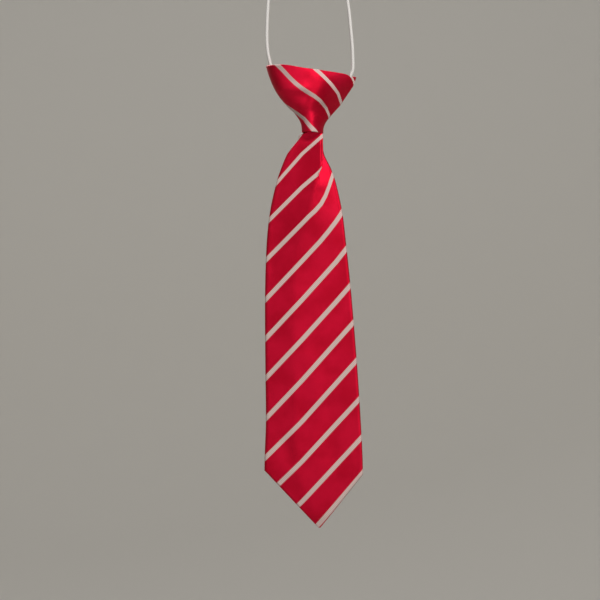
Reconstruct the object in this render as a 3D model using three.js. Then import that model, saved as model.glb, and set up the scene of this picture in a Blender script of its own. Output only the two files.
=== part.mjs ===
// A child's ready-made tie on a round elastic neck loop, hanging by the loop.
// Millimetres, +Z up, the front faces -Y. The origin is the point the loop hangs from, the underside
// of its arch.
// Cloth is folded round to the back, so the blade and the knot are hollow and each has a seam at its back.

import * as THREE from "three";

// Driving dimensions
const KNOT_TOP_Z = -105;
const TIE_LENGTH = 280;
const SEAM_GAP = 0.6;

// Neck elastic
const ELASTIC_DIAMETER = 2;
const LOOP_ARCH_RADIUS = 21.5;
const LOOP_ARCH_STEPS = 8;
const ELASTIC_STEPS = 80;
const ELASTIC_SIDES = 8;

// Blade: a single layer of cloth folded into a flat tube
const BLADE_WALL = 1.2;
const BLADE_CORNER = { left: -24.4, leftDrop: 244.4, right: 35.1, rightDrop: 246.9 };
const BLADE_TIP = { x: 8.8, drop: TIE_LENGTH - 0.2 };
const BLADE_HEAD_DROP = 3.5;
const BLADE_HOLLOW_END_DROP = 270;
const BLADE_END_DROP = 278.4;
const THICKNESS_SHARE = 0.37;

// Pleat under the knot: its left panel laps over its right one, runs straight down and then slants
// to the left, where it fades into a soft ridge
const PLEAT_X = 10.9;
const PLEAT_TOP_DROP = 42;
const PLEAT_SLANT_DROP = 62;
const PLEAT_LAP_END_DROP = 78;
const PLEAT_END_DROP = 118;
const PLEAT_SLANT = 17;
const PLEAT_GROWTH = 12;
const PLEAT_FADE = 26;
const PLEAT_RISE = 1.6;
const PLEAT_STEP = 1.1;
const PLEAT_EDGE = 0.5;
const PLEAT_SIDE_MARGIN = 1.8;

// Knot: a funnel of cloth, flat at the back
const KNOT_WALL = 1.6;
const KNOT_SIDE_Y = -1.8;
const KNOT_BACK_Y = 5;
const KNOT_CORNER = 5;
const KNOT_FRONT_POWER = 2.3;
const KNOT_CREASE_DEPTH = 1.3;
const KNOT_CREASE_SPREAD = 2.6;
const NOTCH_DROP = 7;
const UNDER_THICKNESS = 1.5;
const CLOTH_GAP = 0.3;

// Blade sections. drop is mm below the knot's top edge, left and right are the side edges,
// back is the y of the section's back, half its half thickness.
const BLADE_SECTIONS = [
  { drop: 3.5, left: -16.5, right: 22, back: 1, half: 2.4 },
  { drop: 7, left: -16, right: 22, back: 1.2, half: 3.4 },
  { drop: 12, left: -14.5, right: 20.5, back: 1.2, half: 4.2 },
  { drop: 18, left: -11.5, right: 18.5, back: 1.2, half: 3.7 },
  { drop: 25, left: -6.6, right: 15.8, back: 1.2, half: 3.5 },
  { drop: 31, left: -1.6, right: 11.4, back: 2.4, half: 3.5 },
  { drop: 35.5, left: 0.1, right: 9.2, back: 2.8, half: 3.4 },
  { drop: 40.4, left: 0.1, right: 9.1, back: 2.9, half: 3.4 },
  { drop: 41.4, left: -2.1, right: 10.9, back: 2.8, half: 3.3 },
  { drop: 44.1, left: -4.2, right: 10.9, back: 2.6, half: 3.1 },
  { drop: 48, left: -7.5, right: 10.9, back: 2.4, half: 2.9 },
  { drop: 53.3, left: -11, right: 11.8, back: 2.1, half: 2.6 },
  { drop: 62.2, left: -14.7, right: 16, back: 1.8, half: 2.3 },
  { drop: 70.9, left: -17.5, right: 18.9, back: 1.6, half: 2.1 },
  { drop: 88, left: -21.2, right: 22.6, back: 1.5, half: 2 },
  { drop: 106.8, left: -23.2, right: 24.9, back: 1.5, half: 2 },
  { drop: 139.1, left: -24.2, right: 28.2, back: 1.5, half: 2 },
  { drop: 182.2, left: -24, right: 31.7, back: 1.5, half: 2 },
  { drop: 214.8, left: -23.7, right: 33.8, back: 1.5, half: 2 },
  { drop: 240, left: -24.5, right: 35, back: 1.5, half: 2 },
  { drop: 270, left: -24.5, right: 35, back: 1.5, half: 1.7 },
  { drop: 280, left: -24.5, right: 35, back: 1.5, half: 0.5 },
];

// Knot sections, each a slice from a point on the left outline to one on the right outline.
// front is how far the cloth stands forward of the side edges.
const KNOT_SECTIONS = [
  { left: -23.5, leftDrop: 0.5, right: 29, rightDrop: 9.4, front: 6 },
  { left: -22.6, leftDrop: 3.6, right: 29.1, rightDrop: 10.9, front: 8.2 },
  { left: -21.4, leftDrop: 7.2, right: 28.7, rightDrop: 12.2, front: 9.6 },
  { left: -19.9, leftDrop: 10.9, right: 28, rightDrop: 13.8, front: 10.2 },
  { left: -17.8, leftDrop: 15.1, right: 26.1, rightDrop: 16.6, front: 10 },
  { left: -15.4, leftDrop: 18.7, right: 23.8, rightDrop: 20, front: 9.4 },
  { left: -12.7, leftDrop: 22, right: 21.5, rightDrop: 23.5, front: 8.7 },
  { left: -9.7, leftDrop: 25.3, right: 18.7, rightDrop: 26.6, front: 7.8 },
  { left: -6.9, leftDrop: 27.8, right: 16.3, rightDrop: 29.3, front: 6.9 },
  { left: -4.8, leftDrop: 30.5, right: 13.9, rightDrop: 32.2, front: 6 },
  { left: -3.3, leftDrop: 32.9, right: 12.3, rightDrop: 34.7, front: 5.3 },
  { left: -2.3, leftDrop: 35.6, right: 11.3, rightDrop: 37.4, front: 4.8 },
  { left: -1.9, leftDrop: 39.5, right: 11.1, rightDrop: 40.2, front: 4.4 },
];

// How far the knot's top edge rises over the straight line between its two ends, by the share of its width.
const KNOT_RIM = [
  { share: 0, rise: 0 },
  { share: 0.21, rise: 2.6 },
  { share: 0.43, rise: 3 },
  { share: 0.64, rise: 3.7 },
  { share: 0.8, rise: 4.2 },
  { share: 0.9, rise: 4.2 },
  { share: 0.95, rise: 3.7 },
  { share: 0.98, rise: 2.3 },
  { share: 1, rise: 0 },
];
const RIM_FADE_SECTIONS = 5;

// The crease that crosses the knot's front, from its left edge downwards, in x and drop.
const KNOT_CREASE = [
  { x: -15.5, drop: 17 },
  { x: -7, drop: 18.8 },
  { x: 1.5, drop: 22.5 },
];

// Outline of the under turn, whose corner stands out at the knot's top right, in x and drop.
const UNDER_OUTLINE = [
  { x: -17.6, drop: 3.6 },
  { x: 0, drop: 3.6 },
  { x: 26, drop: 5.4 },
  { x: 31.4, drop: 6.3 },
  { x: 29, drop: 12.4 },
  { x: 22.6, drop: 15.6 },
  { x: 15, drop: 24 },
  { x: -5, drop: 24 },
  { x: -10.4, drop: 18 },
  { x: -15, drop: 11 },
];

// The elastic's route beside its arch, in x and drop, from each tucked end up to the arch.
const LEFT_STRAND = [
  { x: -15.2, drop: 13 },
  { x: -16.8, drop: 9.5 },
  { x: -18.3, drop: 6 },
  { x: -19.6, drop: 2.5 },
  { x: -20.6, drop: -0.3 },
  { x: -21.4, drop: -3.5 },
  { x: -22.6, drop: -9.7 },
  { x: -23.1, drop: -18.1 },
  { x: -22.9, drop: -28 },
  { x: -22.3, drop: -39.8 },
  { x: -21.9, drop: -55 },
  { x: -21.6, drop: -70 },
];
const RIGHT_STRAND = [
  { x: 22.9, drop: 15 },
  { x: 24.7, drop: 12.7 },
  { x: 26.1, drop: 9.7 },
  { x: 27.1, drop: 7.2 },
  { x: 27.9, drop: 4.8 },
  { x: 28.8, drop: 2.4 },
  { x: 29, drop: -0.6 },
  { x: 28.9, drop: -6.6 },
  { x: 28.6, drop: -12.7 },
  { x: 27.8, drop: -21.7 },
  { x: 26.7, drop: -33 },
  { x: 25.6, drop: -41 },
  { x: 24.2, drop: -55 },
  { x: 22.6, drop: -70 },
];

const mix = THREE.MathUtils.lerp;
const smooth = THREE.MathUtils.smoothstep;
const heightOf = (drop) => KNOT_TOP_Z - drop;

// Value of one column of a table at a place along another column, on a smooth curve through its rows
function columnAt(table, along, place, column) {
  const last = table.length - 1;
  let row = 0;
  while (row < last - 1 && place > table[row + 1][along]) row += 1;
  const slopeAt = (i) => {
    const before = table[Math.max(i - 1, 0)];
    const after = table[Math.min(i + 1, last)];
    return (after[column] - before[column]) / (after[along] - before[along]);
  };
  const from = table[row];
  const to = table[row + 1];
  const span = to[along] - from[along];
  const share = THREE.MathUtils.clamp((place - from[along]) / span, 0, 1);
  const square = share * share;
  const cube = square * share;
  return (
    (2 * cube - 3 * square + 1) * from[column] +
    (cube - 2 * square + share) * span * slopeAt(row) +
    (3 * square - 2 * cube) * to[column] +
    (cube - square) * span * slopeAt(row + 1)
  );
}

// A closed body lofted through rows of cloth. Each row has an outer line that starts and ends at the seam
// and, where the cloth is hollow, the inner line that goes with it. A row without one is solid.
function loftCloth(rows) {
  const positions = [];
  const faces = [];
  const addPoint = (point) => positions.push(point.x, point.y, point.z) / 3 - 1;
  const outer = rows.map((row) => row.outer.map(addPoint));
  const inner = rows.map((row) => row.inner && row.inner.map(addPoint));
  const quad = (a, b, c, d) => faces.push(a, b, c, a, c, d);
  const count = outer[0].length;

  const closeEnd = (rowIndex, loop, flip) => {
    const centre = new THREE.Vector3();
    for (const index of loop) centre.add(new THREE.Vector3().fromArray(positions, index * 3));
    centre.divideScalar(loop.length);
    centre.x = rows[rowIndex].centre.x;
    centre.y = rows[rowIndex].centre.y;
    const hub = addPoint(centre);
    loop.forEach((index, i) => {
      const next = loop[(i + 1) % loop.length];
      faces.push(...(flip ? [hub, next, index] : [hub, index, next]));
    });
  };
  const openEnd = (rowIndex, flip) => {
    for (let i = 0; i < count - 1; i += 1) {
      const ring = [outer[rowIndex][i], outer[rowIndex][i + 1], inner[rowIndex][i + 1], inner[rowIndex][i]];
      quad(...(flip ? ring.reverse() : ring));
    }
  };
  const seamLoop = (rowIndex) => {
    const hollow = inner[rowIndex];
    return [outer[rowIndex][0], ...hollow, outer[rowIndex][count - 1]];
  };

  for (let r = 0; r < rows.length - 1; r += 1) {
    const hollow = inner[r] && inner[r + 1];
    for (let i = 0; i < count - 1; i += 1) {
      quad(outer[r][i], outer[r + 1][i], outer[r + 1][i + 1], outer[r][i + 1]);
      if (hollow) quad(inner[r][i], inner[r][i + 1], inner[r + 1][i + 1], inner[r + 1][i]);
    }
    const end = count - 1;
    if (hollow) {
      quad(outer[r][0], inner[r][0], inner[r + 1][0], outer[r + 1][0]);
      quad(outer[r][end], outer[r + 1][end], inner[r + 1][end], inner[r][end]);
    } else {
      quad(outer[r][end], outer[r + 1][end], outer[r + 1][0], outer[r][0]);
      if (inner[r + 1]) closeEnd(r + 1, seamLoop(r + 1), true);
      if (inner[r]) closeEnd(r, seamLoop(r), false);
    }
  }
  const bottom = rows.length - 1;
  if (inner[0]) openEnd(0, false);
  else closeEnd(0, outer[0], false);
  if (inner[bottom]) openEnd(bottom, true);
  else closeEnd(bottom, outer[bottom], true);

  const geometry = new THREE.BufferGeometry();
  geometry.setAttribute("position", new THREE.Float32BufferAttribute(positions, 3));
  geometry.setIndex(faces);
  geometry.computeVertexNormals();
  return geometry;
}

// Side edges of the blade: the table's outline, then straight to the tip
function bladeEdges(drop) {
  const { left, leftDrop, right, rightDrop } = BLADE_CORNER;
  const toTip = (from, fromDrop) => mix(from, BLADE_TIP.x, (drop - fromDrop) / (BLADE_TIP.drop - fromDrop));
  return {
    left: drop > leftDrop ? toTip(left, leftDrop) : columnAt(BLADE_SECTIONS, "drop", drop, "left"),
    right: drop > rightDrop ? toTip(right, rightDrop) : columnAt(BLADE_SECTIONS, "drop", drop, "right"),
  };
}

// Where the pleat's fold crosses the blade: straight down from the knot, then slanting to the left
function pleatX(drop, right) {
  const slant = smooth(drop, PLEAT_SLANT_DROP, PLEAT_END_DROP) * PLEAT_SLANT;
  return Math.min(PLEAT_X - slant, right - PLEAT_SIDE_MARGIN);
}

// How far the blade's front stands forward at a share of the way from its left edge to the pleat's fold
function pleatRise(drop, share) {
  const grow = smooth(drop, PLEAT_TOP_DROP, PLEAT_TOP_DROP + PLEAT_GROWTH);
  const fade = 1 - smooth(drop, PLEAT_LAP_END_DROP, PLEAT_END_DROP);
  return PLEAT_RISE * grow * fade * share * share;
}

// How far the right panel lies behind the fold
function pleatStep(drop) {
  const grow = smooth(drop, PLEAT_TOP_DROP, PLEAT_TOP_DROP + PLEAT_GROWTH);
  return PLEAT_STEP * grow * (1 - smooth(drop, PLEAT_LAP_END_DROP - PLEAT_FADE, PLEAT_LAP_END_DROP));
}

// Half the blade's thickness, thinner where the blade is too narrow for it
function bladeHalf(drop, width) {
  return Math.min(columnAt(BLADE_SECTIONS, "drop", drop, "half"), width * THICKNESS_SHARE);
}

// Where the points of a line lie: round its turned edges, and as shares of the panels beside the pleat
const TURN_ANGLES = [90, 60, 30, 0].map(THREE.MathUtils.degToRad);
const LEFT_PANEL = [0.2, 0.4, 0.6, 0.8, 1];
const RIGHT_PANEL = [0, 0.35, 0.7];
const FOLD_FIRST_SHARE = 0.3;
const FOLD_LAST_SHARE = 0.85;
const FOLD_EDGE_SHARE = 0.4;

// One line round the blade, inset from its cloth: from the seam by the left edge and the front to the seam
function bladeLine(drop, inset) {
  const { left, right } = bladeEdges(drop);
  const middle = (left + right) / 2;
  const half = bladeHalf(drop, right - left);
  const mid = columnAt(BLADE_SECTIONS, "drop", drop, "back") - half;
  const radius = half - inset;
  const point = (x, y) => new THREE.Vector3(x, y, heightOf(drop));
  const turn = (side, angle) => {
    const centreX = side < 0 ? left + half : right - half;
    return point(centreX + side * radius * Math.cos(angle), mid + radius * Math.sin(angle));
  };
  const front = (x, lift) => point(x, mid - radius - lift);
  const flatLeft = left + half;
  const flatRight = right - half;
  const firstFold = mix(flatLeft, flatRight, FOLD_FIRST_SHARE);
  const lastFold = mix(flatLeft, flatRight, FOLD_LAST_SHARE);
  const fold = THREE.MathUtils.clamp(pleatX(drop, right), firstFold, lastFold);
  const behindFold = Math.min(fold + PLEAT_EDGE, mix(fold, flatRight, FOLD_EDGE_SHARE));
  const rise = pleatRise(drop, 1);
  const step = pleatStep(drop);
  return [
    point(middle - SEAM_GAP / 2, mid + radius),
    ...TURN_ANGLES.map((angle) => turn(-1, angle)),
    turn(-1, -TURN_ANGLES[2]),
    turn(-1, -TURN_ANGLES[1]),
    front(flatLeft, 0),
    ...LEFT_PANEL.map((share) => front(mix(flatLeft, fold, share), pleatRise(drop, share))),
    ...RIGHT_PANEL.map((share) => front(mix(behindFold, flatRight, share), (rise - step) * (1 - share))),
    front(flatRight, 0),
    turn(1, -TURN_ANGLES[1]),
    turn(1, -TURN_ANGLES[2]),
    ...TURN_ANGLES.toReversed().map((angle) => turn(1, angle)),
    point(middle + SEAM_GAP / 2, mid + radius),
  ];
}

// Evenly spaced places from one to just short of another
function stretch(from, to, count) {
  return Array.from({ length: count }, (_, i) => mix(from, to, i / count));
}

function bladeGeometry() {
  const hollowTop = BLADE_HEAD_DROP + BLADE_WALL;
  const tableDrops = BLADE_SECTIONS.map(({ drop }) => drop);
  const drops = [
    BLADE_HEAD_DROP,
    hollowTop,
    ...tableDrops.filter((drop) => drop > hollowTop && drop < PLEAT_TOP_DROP),
    ...stretch(PLEAT_TOP_DROP + 1, PLEAT_LAP_END_DROP, 9),
    ...stretch(PLEAT_LAP_END_DROP, PLEAT_END_DROP, 5),
    ...stretch(PLEAT_END_DROP, BLADE_CORNER.leftDrop, 7),
    BLADE_CORNER.leftDrop,
    ...stretch(BLADE_CORNER.rightDrop, BLADE_HOLLOW_END_DROP, 3),
    BLADE_HOLLOW_END_DROP,
    mix(BLADE_HOLLOW_END_DROP, BLADE_END_DROP, 0.5),
    BLADE_END_DROP,
  ];
  const rows = drops.map((drop) => {
    const { left, right } = bladeEdges(drop);
    const hollow = drop >= hollowTop && drop <= BLADE_HOLLOW_END_DROP;
    return {
      outer: bladeLine(drop, 0),
      inner: hollow ? bladeLine(drop, BLADE_WALL) : null,
      centre: {
        x: (left + right) / 2,
        y: columnAt(BLADE_SECTIONS, "drop", drop, "back") - bladeHalf(drop, right - left),
      },
    };
  });
  return loftCloth(rows);
}

// Depth of the knot's crease at a place on its front
function creaseDepth(x, drop) {
  let depth = 0;
  for (let i = 0; i < KNOT_CREASE.length - 1; i += 1) {
    const from = new THREE.Vector2(KNOT_CREASE[i].x, KNOT_CREASE[i].drop);
    const to = new THREE.Vector2(KNOT_CREASE[i + 1].x, KNOT_CREASE[i + 1].drop);
    const along = to.clone().sub(from);
    const place = new THREE.Vector2(x, drop).sub(from);
    const share = THREE.MathUtils.clamp(place.dot(along) / along.lengthSq(), 0, 1);
    const away = place.sub(along.multiplyScalar(share)).length() / KNOT_CREASE_SPREAD;
    depth = Math.max(depth, KNOT_CREASE_DEPTH * Math.exp(-away * away));
  }
  return depth;
}

const FRONT_STEPS = 12;
const FLAP_SHARES = [0, 0.5, 1];
const CORNER_WIDTH_SHARE = 0.6;
const BACK_RISE_SHARE = 0.4;
const NOTCH_SHARES = [0, 0.8, 1];

// One line round the knot, inset from its cloth: from the seam by the left edge and the front to the seam.
// Past its right edge the top of the cloth is notched, for the corner of the under turn.
function knotLine(index, inset) {
  const section = KNOT_SECTIONS[index];
  const middle = (section.left + section.right) / 2;
  const width = (section.right - section.left) / 2 - inset;
  const corner = Math.min(KNOT_CORNER - inset, width * CORNER_WIDTH_SHARE);
  const back = KNOT_BACK_Y - KNOT_SIDE_Y - inset;
  const fade = Math.max(0, 1 - index / RIM_FADE_SECTIONS);
  const place = (x, y, riseShare, notch) => {
    const outerX = middle + (x - middle) * ((width + inset) / width);
    const share = THREE.MathUtils.clamp((outerX - section.left) / (section.right - section.left), 0, 1);
    const rise = columnAt(KNOT_RIM, "share", share, "rise") * fade * riseShare;
    const drop = mix(section.leftDrop, section.rightDrop, share) - rise + notch * fade * NOTCH_DROP;
    return new THREE.Vector3(x, y, heightOf(drop));
  };
  const line = [];
  const flapEnd = middle - SEAM_GAP / 2;
  const cornerStart = middle - width + corner;
  for (const share of FLAP_SHARES) {
    line.push(place(mix(flapEnd, cornerStart, share), KNOT_BACK_Y - inset, BACK_RISE_SHARE, 0));
  }
  for (const angle of TURN_ANGLES.slice(1)) {
    const y = KNOT_SIDE_Y + back * Math.sin(angle);
    line.push(place(middle - width + corner * (1 - Math.cos(angle)), y, BACK_RISE_SHARE, 0));
  }
  for (let i = 1; i < FRONT_STEPS; i += 1) {
    const angle = Math.PI * (1 + i / FRONT_STEPS);
    const bow = (value) => Math.sign(value) * Math.abs(value) ** (2 / KNOT_FRONT_POWER);
    const x = middle + width * bow(Math.cos(angle));
    const drop = mix(section.leftDrop, section.rightDrop, i / FRONT_STEPS);
    const y = KNOT_SIDE_Y + (section.front - inset) * bow(Math.sin(angle)) + creaseDepth(x, drop);
    line.push(place(x, y, 1, 0));
  }
  NOTCH_SHARES.forEach((notch, i) => {
    const angle = TURN_ANGLES.at(-1 - i);
    const y = KNOT_SIDE_Y + back * Math.sin(angle);
    line.push(place(middle + width - corner * (1 - Math.cos(angle)), y, 0, notch));
  });
  for (const share of FLAP_SHARES.toReversed()) {
    const x = mix(middle + SEAM_GAP / 2, middle + width - corner, share);
    line.push(place(x, KNOT_BACK_Y - inset, BACK_RISE_SHARE * (1 - share), share));
  }
  return line;
}

function knotWrapGeometry() {
  const rows = KNOT_SECTIONS.map((section, index) => ({
    outer: knotLine(index, 0),
    inner: knotLine(index, KNOT_WALL),
  }));
  return loftCloth(rows);
}

// The under turn is a flat double layer standing just inside the knot's back
function knotUnderGeometry() {
  const outline = new THREE.Shape(UNDER_OUTLINE.map(({ x, drop }) => new THREE.Vector2(x, heightOf(drop))));
  return new THREE.ExtrudeGeometry(outline, { depth: UNDER_THICKNESS, bevelEnabled: false });
}

function elasticRoute() {
  const strandPoint = ({ x, drop }) => new THREE.Vector3(x, 0, heightOf(drop));
  const archTop = ELASTIC_DIAMETER / 2;
  const arch = [];
  for (let step = 0; step <= LOOP_ARCH_STEPS; step += 1) {
    const angle = Math.PI * (1 - step / LOOP_ARCH_STEPS);
    const z = archTop - LOOP_ARCH_RADIUS * (1 - Math.sin(angle));
    arch.push(new THREE.Vector3(LOOP_ARCH_RADIUS * Math.cos(angle), 0, z));
  }
  return [...LEFT_STRAND.map(strandPoint), ...arch, ...RIGHT_STRAND.toReversed().map(strandPoint)];
}

function neckElasticGeometry() {
  const section = new THREE.Shape();
  for (let i = 0; i < ELASTIC_SIDES; i += 1) {
    const angle = (2 * Math.PI * i) / ELASTIC_SIDES;
    const x = (ELASTIC_DIAMETER / 2) * Math.cos(angle);
    const y = (ELASTIC_DIAMETER / 2) * Math.sin(angle);
    if (i === 0) section.moveTo(x, y);
    else section.lineTo(x, y);
  }
  section.closePath();
  const extrudePath = new THREE.CatmullRomCurve3(elasticRoute(), false, "centripetal");
  return new THREE.ExtrudeGeometry(section, { steps: ELASTIC_STEPS, extrudePath, bevelEnabled: false });
}

function addPiece(group, name, geometry, material) {
  const mesh = new THREE.Mesh(geometry, material);
  mesh.name = name;
  group.add(mesh);
  return mesh;
}

const redCloth = new THREE.MeshStandardMaterial({ color: 0xb5132f, roughness: 0.62, metalness: 0 });
const shadedCloth = new THREE.MeshStandardMaterial({ color: 0x9c0f28, roughness: 0.66, metalness: 0 });
const whiteElastic = new THREE.MeshStandardMaterial({ color: 0xe2dfd8, roughness: 0.7, metalness: 0 });

const tie = new THREE.Group();
addPiece(tie, "blade", bladeGeometry(), redCloth);
addPiece(tie, "knot_wrap", knotWrapGeometry(), redCloth);
const under = addPiece(tie, "knot_under", knotUnderGeometry(), shadedCloth);
under.rotation.x = Math.PI / 2;
under.position.y = KNOT_BACK_Y - KNOT_WALL - CLOTH_GAP;
addPiece(tie, "neck_elastic", neckElasticGeometry(), whiteElastic);

export default tie;
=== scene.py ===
"""A child's ready-made striped tie on a round elastic neck loop, hanging by the loop.

Blender works in metres, +Z up, and the front faces -Y. The sizes below are in millimetres unless they say
otherwise. Heights are given as drop, the millimetres below the knot's top edge.
"""

import math

import bmesh
import bpy
import numpy as np
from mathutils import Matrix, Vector


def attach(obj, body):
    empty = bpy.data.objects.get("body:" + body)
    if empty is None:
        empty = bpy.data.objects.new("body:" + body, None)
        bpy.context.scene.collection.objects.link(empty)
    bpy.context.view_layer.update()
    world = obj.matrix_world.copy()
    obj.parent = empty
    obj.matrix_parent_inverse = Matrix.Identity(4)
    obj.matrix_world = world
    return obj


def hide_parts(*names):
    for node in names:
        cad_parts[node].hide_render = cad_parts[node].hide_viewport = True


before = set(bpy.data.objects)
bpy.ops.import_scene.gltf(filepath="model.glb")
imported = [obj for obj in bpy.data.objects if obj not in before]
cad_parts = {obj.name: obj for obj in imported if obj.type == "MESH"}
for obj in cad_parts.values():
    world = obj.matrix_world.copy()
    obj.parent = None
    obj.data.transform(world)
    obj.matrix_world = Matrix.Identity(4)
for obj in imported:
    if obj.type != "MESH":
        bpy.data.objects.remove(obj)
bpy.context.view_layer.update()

MM = 0.001
KNOT_TOP_Z = -105.0

# Points nearer than this are welded, in metres
WELD_DISTANCE = 1e-7

# Photograph: its width in millimetres at the tie's front, and where the camera stands
PHOTO_WIDTH = 362.07
FRONT_Y = -2.5
CAMERA_DISTANCE = 800.0
CAMERA_X = -3.0
CAMERA_Z = -246.2
SENSOR_WIDTH = 36.0

# Neck elastic
ELASTIC_RADIUS = 1.0
LOOP_ARCH_RADIUS = 21.5
LOOP_ARCH_STEPS = 16
ELASTIC_SIDES = 20
ELASTIC_STEP = 0.6
ELASTIC_END_STEPS = 5

# The elastic's route beside its arch, in x and drop, from each tucked end up to the arch
LEFT_STRAND = [
    (-15.2, 13), (-16.8, 9.5), (-18.3, 6), (-19.6, 2.5), (-20.6, -0.3), (-21.4, -3.5),
    (-22.6, -9.7), (-23.1, -18.1), (-22.9, -28), (-22.3, -39.8), (-21.9, -55), (-21.6, -70),
]
RIGHT_STRAND = [
    (22.9, 15), (24.7, 12.7), (26.1, 9.7), (27.1, 7.2), (27.9, 4.8), (28.8, 2.4), (29, -0.6),
    (28.9, -6.6), (28.6, -12.7), (27.8, -21.7), (26.7, -33), (25.6, -41), (24.2, -55), (22.6, -70),
]

# Cloth. Places across its stripes count STRIPE_PITCH from each centre line to the next. Near a centre line,
# within the core, they keep to scale, and between two stripes they fill what is left.
CLOTH_THICKNESS = 0.5
STRIPE_PITCH = 16.5
STRIPE_WIDTH = 3.0
STRIPE_CORE = 3.0
STRIPE_LEAST_GAP = 0.01

# Blade sections. left and right are the side edges' x, back the y of the back, half the half thickness.
BLADE_COLUMNS = ("drop", "left", "right", "back", "half")
BLADE_ROWS = [
    (3.5, -16.5, 22, 1, 2.4),
    (7, -16, 22, 1.2, 3.4),
    (12, -14.5, 20.5, 1.2, 4.2),
    (18, -11.5, 18.5, 1.2, 3.7),
    (25, -6.6, 15.8, 1.2, 3.5),
    (31, -1.6, 11.4, 2.4, 3.5),
    (35.5, 0.1, 9.2, 2.8, 3.4),
    (39.4, 0.1, 9.1, 2.9, 3.1),
    (40.4, -1.7, 9.9, 2.9, 2.9),
    (41.4, -3.5, 10.9, 2.8, 2.6),
    (44.1, -4.2, 10.9, 2.6, 2.2),
    (48, -7.5, 10.9, 2.4, 2),
    (53.3, -11, 11.8, 2.1, 1.9),
    (62.2, -14.7, 16, 1.8, 1.9),
    (70.9, -17.5, 18.9, 1.6, 1.9),
    (88, -21.2, 22.6, 1.5, 2),
    (106.8, -23.2, 24.9, 1.5, 2),
    (139.1, -24.2, 28.2, 1.5, 2),
    (182.2, -24, 31.7, 1.5, 2),
    (214.8, -23.7, 33.8, 1.5, 2),
    (240, -24.5, 35, 1.5, 2),
    (270, -24.5, 35, 1.5, 1.7),
    (280, -24.5, 35, 1.5, 0.5),
]
BLADE_CORNER_LEFT = (-24.4, 244.4)
BLADE_CORNER_RIGHT = (35.1, 246.9)
BLADE_TIP = (8.8, 279.8)

# Near the tip, half the thickness is at most this share of the width
THICKNESS_SHARE = 0.37

# Pleat under the knot: the left panel laps over the right one, and fades into a soft ridge. Its line is in
# drop and x, and keeps between two shares of the way across the front.
PLEAT_LINE = [(32, 10.9), (56, 10.9), (61, 10.5), (66, 8.9), (84, 4), (124, -6), (280, -6)]
PLEAT_SHARES = (0.3, 0.85)
PLEAT_LAP = 3.5
PLEAT_RADIUS = 0.55
PLEAT_SPREAD = 2.5
PLEAT_SOFTENING = (-1.5, -0.75, 0, 0.75, 1.5)
RIGHT_PANEL_LEAST = 0.5

# How far the pleat and the blade's crown rise, and the drops where the lap and each rise start, are full,
# start to fade and are gone
PLEAT_RISE = 5.2
CROWN_RISE = 2.2
PLEAT_LAP_DROPS = (32.0, 38.0, 56.0, 74.0)
PLEAT_RISE_DROPS = (33.0, 50.0, 78.0, 124.0)
CROWN_DROPS = (60.0, 124.0, 236.0, 276.0)

# Folds of the blade's front: from and to in x and drop, spread across, and how far it stands forward
BLADE_FOLDS = [
    (-14, 96, -20, 120, 5, -0.5),
    (15, 206, 17, 236, 6, -0.6),
    (-12, 228, -9, 238, 5, -0.7),
    (2, 176, 8, 200, 6, 0.5),
]

# How many points make each stretch of a section, and how many rows a piece has
FLAP_STEPS = 20
HEM_TURN_STEPS = 6
HEM_STEPS = 5
TURN_STEPS = 9
LEFT_PANEL_STEPS = 44
RIGHT_PANEL_STEPS = 30
PLEAT_ARC_STEPS = 8
PLEAT_RETURN_STEPS = 5
KNOT_FRONT_STEPS = 110
KNOT_TURN_STEPS = 10
KNOT_ROW_STEPS = 90
RIM_TURN_STEPS = 8
RIM_HEM_STEPS = 8
UNDER_ACROSS_STEPS = 80
UNDER_DOWN_STEPS = 50

# Which points of the knot's rings are on its side edges
KNOT_FIRST = FLAP_STEPS - 1 + KNOT_TURN_STEPS
KNOT_LAST = KNOT_FIRST + KNOT_FRONT_STEPS

# Rows of the blade: from and to as drops, and the step between them
BLADE_ROW_STRETCHES = [
    (9, 38, 3), (38, 90, 0.8), (90, 244.4, 1.6), (244.4, 246.9, 1.25), (246.9, 279.2, 0.8),
]

# Back seam: the right flap laps over the left one and is hemmed. The left flap starts to sink at a share of
# the way out from the middle. Where the blade is thinner or narrower than the last two, the seam shrinks.
SEAM_LAP = 4.0
SEAM_UNDERLAP = 5.0
HEM_DEPTH = 6.0
HEM_RADIUS = 0.5
SEAM_SINK = 1.15
SEAM_SINK_SHARE = 0.7
SEAM_FULL_HALF = 2.0
SEAM_FULL_WIDTH = 16.0

# Slip stitches: how far they reach either side of the seam's edge, how they arch and slant, and their thread
STITCH_FROM = -1.3
STITCH_TO = 0.9
STITCH_ARCH = 0.25
STITCH_CLIMB_SHARE = 0.6
STITCH_SLANT = 1.2
STITCH_STEPS = 14
THREAD_RADIUS = 0.16
THREAD_SIDES = 8
THREAD_TAPER_POWER = 8

# Where the stitches are: first drop, last drop and step on the blade, places down the sections on the knot
BLADE_STITCH_DROPS = (64, 242, 9)
KNOT_STITCH_PLACES = (3.5, 5, 6.5)

# Stripes of the blade from the knot down: the drop where they cross STRIPE_X, their slopes left and right of
# it, and their width. They reach past the cloth's edges.
STRIPE_X = -1.8
BLADE_STRIPES = [
    (40.0, 1.23, 3, 2.1),
    (53.2, 1.13, 0.87, 2.0),
    (73.4, 0.987, 0.85, 2.3),
    (95.3, 1.0, 1.05, 2.5),
    (117.7, 1.058, 1.147, 2.6),
    (141.1, 1.066, 1.11, 2.7),
    (165.1, 1.065, 1.105, 2.7),
    (189.6, 1.06, 1.12, 2.7),
    (214.3, 1.0, 1.11, 2.7),
    (238.4, 0.99, 1.08, 2.7),
    (262.9, 1.0, 1.075, 2.7),
    (288.7, 1.0, 1.174, 2.9),
]
STRIPE_REACH = 80.0

# How much a stripe drops for each millimetre to the right
BLADE_STRIPE_SLOPE = -1.07
KNOT_STRIPE_SLOPE = 0.85

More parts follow.
